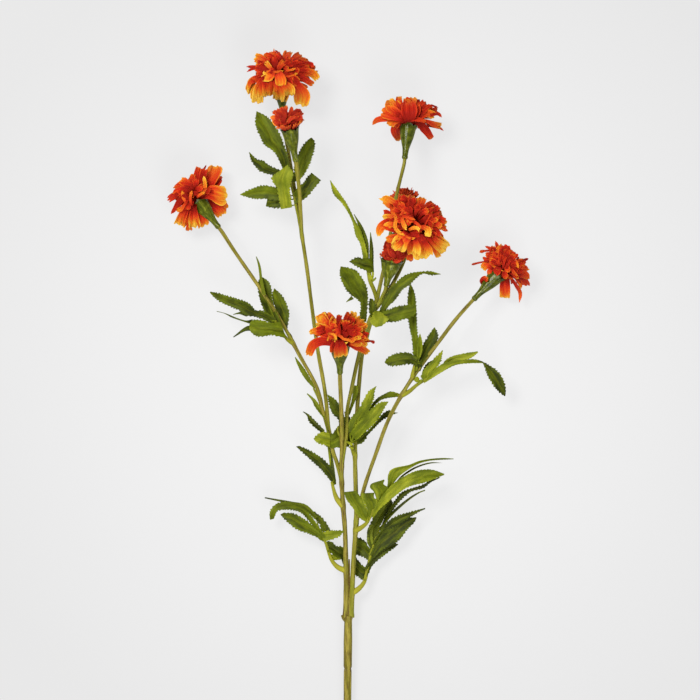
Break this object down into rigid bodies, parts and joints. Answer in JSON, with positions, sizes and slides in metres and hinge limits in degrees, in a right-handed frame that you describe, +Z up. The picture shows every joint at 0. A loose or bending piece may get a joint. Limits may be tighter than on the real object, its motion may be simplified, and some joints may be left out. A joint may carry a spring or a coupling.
{
  "type": "marigold flower spray",
  "caption": "Cut branching marigold stem lying down, with ruffled orange blooms, red-orange buds, ribbed green calyxes and saw-toothed leafy sprigs.",
  "frame": {"origin": "on the surface that the spray lies on, under the middle of its overall box", "axes": "+Y from the cut end of the stem to the blooms, +X to the right seen from above, +Z up"},
  "size_m": [0.2914, 0.5972, 0.0879],
  "materials": {
    "petal": "matt, red at the root and golden at the rim",
    "bud_petal": "matt",
    "calyx": "satin gloss",
    "stem": "satin, streaked",
    "leaf": "matt, paler beneath"
  },
  "bodies": {
    "root": {"main_stem": "stem", "branch_front": "stem", "branch_top_right": "stem", "branch_top_left": "stem", "branch_middle": "stem", "branch_right": "stem", "branch_left": "stem", "leaf_low_left": "leaf", "leaf_low_right": "leaf", "leaf_mid_right": "leaf", "leaf_dark_left": "leaf", "leaf_mid_left": "leaf", "leaf_left_low": "leaf", "leaf_centre_right": "leaf", "leaf_front_back": "leaf", "leaf_right_low": "leaf", "leaf_right_high": "leaf", "leaf_middle_node": "leaf", "leaf_top_right_left": "leaf", "leaf_top_right_high": "leaf", "leaf_top_left": "leaf", "leaf_left": "leaf", "leaf_left_back": "leaf", "calyx_top_left": "calyx", "bloom_top_left": "petal", "calyx_left": "calyx", "bloom_left": "petal", "calyx_top_right": "calyx", "bloom_top_right": "petal", "calyx_middle": "calyx", "bloom_middle": "petal", "calyx_right": "calyx", "bloom_right": "petal", "calyx_front": "calyx", "bloom_front": "petal", "bud_calyx_top_left": "calyx", "bud_top_left": "bud_petal", "bud_calyx_middle": "calyx", "bud_middle": "bud_petal", "bud_calyx_back": "calyx", "bud_back": "bud_petal"}
  },
  "joints": []
}
